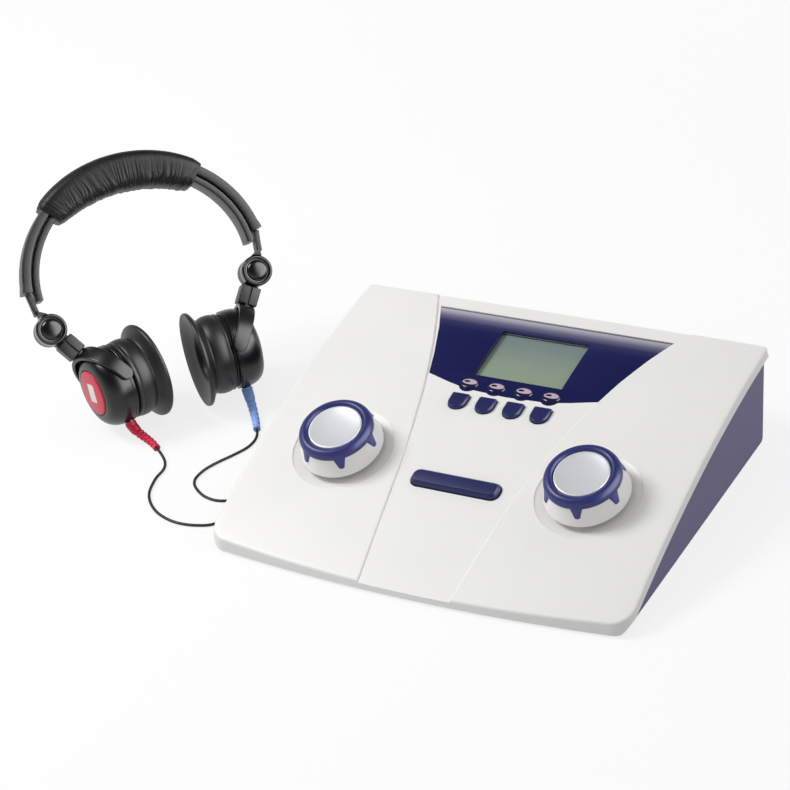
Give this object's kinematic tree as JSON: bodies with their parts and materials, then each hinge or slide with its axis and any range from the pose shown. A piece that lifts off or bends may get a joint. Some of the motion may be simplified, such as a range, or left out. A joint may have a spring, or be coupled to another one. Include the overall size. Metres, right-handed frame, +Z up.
{
  "type": "audiometer",
  "caption": "Wedge-shaped desk audiometer with rotary knobs, soft keys, a presentation bar and a display, with its corded folding headset with red and blue ear cups.",
  "frame": {"origin": "under the middle of the part's whole extent, on the table that the feet stand on", "axes": "+X to the right as the console faces its user, +Y away from the user, +Z up"},
  "size_m": [0.5002, 0.2961, 0.1652],
  "materials": {
    "cover_white": "fine satin moulding",
    "base_navy": "satin moulding",
    "key_navy": "satin moulding",
    "window_navy": "gloss printed panel",
    "screen_grey": "grey-green liquid crystal screen",
    "cap_silver": "silver painted satin",
    "steel_parts": "plain",
    "board_green": "solder-masked board",
    "black_rubber": "soft matt",
    "pad_leather": "wrinkled soft leather",
    "black_plastic": "semi-gloss",
    "boot_red": "satin",
    "boot_blue": "satin",
    "badge_red": "gloss print",
    "badge_blue": "gloss print",
    "cord_black": "satin"
  },
  "bodies": {
    "console": {"top_cover": "cover_white", "lead_coil": "cord_black", "base_shell": "base_navy", "display_window": "window_navy", "red_cord": "cord_black", "blue_cord": "cord_black", "phones_socket": "black_plastic", "headset_plug": "black_plastic", "left_encoder": "steel_parts", "right_encoder": "steel_parts", "lead_tail": "cord_black", "main_board": "board_green", "base_screw_1": "steel_parts", "base_screw_2": "steel_parts", "base_screw_3": "steel_parts", "base_screw_4": "steel_parts", "foot_1": "black_rubber", "foot_2": "black_rubber", "foot_3": "black_rubber", "foot_4": "black_rubber", "dc_inlet": "black_plastic", "lcd_module": "screen_grey", "cord_split": "black_rubber"},
    "power_rocker_arm": {"power_rocker": "black_plastic"},
    "soft_key_1": {"key_1": "key_navy"},
    "soft_key_2": {"key_2": "key_navy"},
    "soft_key_3": {"key_3": "key_navy"},
    "soft_key_4": {"key_4": "key_navy"},
    "talk_bar": {"presentation_bar": "key_navy"},
    "left_knob": {"left_skirt": "cover_white", "left_grip": "key_navy", "left_cap": "cap_silver", "left_shaft": "steel_parts"},
    "right_knob": {"right_skirt": "cover_white", "right_grip": "key_navy", "right_cap": "cap_silver", "right_shaft": "steel_parts"},
    "headband": {"outer_band": "black_plastic", "inner_band": "black_plastic", "head_pad": "pad_leather"},
    "red_slide": {"red_slider": "black_plastic", "red_hinge_drum": "black_plastic"},
    "red_neck_block": {"red_neck": "black_plastic"},
    "red_fork": {"red_yoke": "black_plastic"},
    "red_earpiece": {"red_cushion": "black_rubber", "red_cup_shell": "black_plastic", "red_baffle": "black_plastic", "red_driver": "steel_parts", "red_badge": "badge_red", "red_boot": "boot_red"},
    "blue_slide": {"blue_slider": "black_plastic", "blue_hinge_drum": "black_plastic"},
    "blue_neck_block": {"blue_neck": "black_plastic"},
    "blue_fork": {"blue_yoke": "black_plastic"},
    "blue_earpiece": {"blue_cushion": "black_rubber", "blue_cup_shell": "black_plastic", "blue_baffle": "black_plastic", "blue_driver": "steel_parts", "blue_badge": "badge_blue", "blue_boot": "boot_blue"}
  },
  "joints": [
    {"name": "power_rock", "type": "hinge", "parent": "console", "child": "power_rocker_arm", "pos_m": [0.16626, 0.10693, 0.02652], "axis": [1, 0, 0], "range_deg": [0, 14]},
    {"name": "key_1_press", "type": "slide", "parent": "console", "child": "soft_key_1", "axis": [0, 0.2198, -0.9756], "range_m": [0, 0.0012], "stiffness_N_per_m": 300, "springref_m": -0.0008},
    {"name": "key_2_press", "type": "slide", "parent": "console", "child": "soft_key_2", "axis": [0, 0.2198, -0.9756], "range_m": [0, 0.0012], "stiffness_N_per_m": 300, "springref_m": -0.0008},
    {"name": "key_3_press", "type": "slide", "parent": "console", "child": "soft_key_3", "axis": [0, 0.2198, -0.9756], "range_m": [0, 0.0012], "stiffness_N_per_m": 300, "springref_m": -0.0008},
    {"name": "key_4_press", "type": "slide", "parent": "console", "child": "soft_key_4", "axis": [0, 0.2198, -0.9756], "range_m": [0, 0.0012], "stiffness_N_per_m": 300, "springref_m": -0.0008},
    {"name": "bar_press", "type": "slide", "parent": "console", "child": "talk_bar", "axis": [0, 0.3056, -0.9522], "range_m": [0, 0.0015], "stiffness_N_per_m": 400, "springref_m": -0.001},
    {"name": "left_knob_turn", "type": "hinge", "parent": "console", "child": "left_knob", "pos_m": [0.01826, -0.03627, 0.03907], "axis": [0, -0.2916, 0.9565], "continuous": true},
    {"name": "right_knob_turn", "type": "hinge", "parent": "console", "child": "right_knob", "pos_m": [0.19026, -0.03627, 0.03907], "axis": [0, -0.2916, 0.9565], "continuous": true},
    {"name": "headset_lift", "type": "slide", "parent": "console", "child": "headband", "axis": [0, 0, 1], "range_m": [0, 0.15], "deforming": ["red_cord", "blue_cord"]},
    {"name": "red_extend", "type": "slide", "parent": "headband", "child": "red_slide", "axis": [0.305, -0.465, -0.8312], "range_m": [0, 0.01], "deforming": ["red_cord"]},
    {"name": "red_fold", "type": "hinge", "parent": "red_slide", "child": "red_neck_block", "pos_m": [-0.2191, -0.01483, 0.0729], "axis": [0.6408, -0.5454, 0.5402], "range_deg": [-33, 0], "deforming": ["red_cord"]},
    {"name": "red_swivel", "type": "hinge", "parent": "red_neck_block", "child": "red_fork", "pos_m": [-0.17967, -0.00768, 0.03335], "axis": [0.7003, 0.127, -0.7025], "range_deg": [-4, 25], "deforming": ["red_cord"]},
    {"name": "red_tilt", "type": "hinge", "parent": "red_fork", "child": "red_earpiece", "pos_m": [-0.17967, -0.00768, 0.03335], "axis": [0.6952, -0.3451, 0.6306], "range_deg": [-8, 8], "deforming": ["red_cord"]},
    {"name": "blue_extend", "type": "slide", "parent": "headband", "child": "blue_slide", "axis": [0.5077, -0.2267, -0.8312], "range_m": [0, 0.01], "deforming": ["blue_cord"]},
    {"name": "blue_fold", "type": "hinge", "parent": "blue_slide", "child": "blue_neck_block", "pos_m": [-0.12318, 0.09788, 0.0729], "axis": [0.6408, -0.5454, 0.5402], "range_deg": [0, 33], "deforming": ["blue_cord"]},
    {"name": "blue_swivel", "type": "hinge", "parent": "blue_neck_block", "child": "blue_fork", "pos_m": [-0.12393, 0.05782, 0.03335], "axis": [-0.0134, -0.7116, -0.7025], "range_deg": [-12, 12], "deforming": ["blue_cord"]},
    {"name": "blue_tilt", "type": "hinge", "parent": "blue_fork", "child": "blue_earpiece", "pos_m": [-0.12393, 0.05782, 0.03335], "axis": [0.6408, -0.5454, 0.5402], "range_deg": [-8, 8], "deforming": ["blue_cord"]}
  ]
}
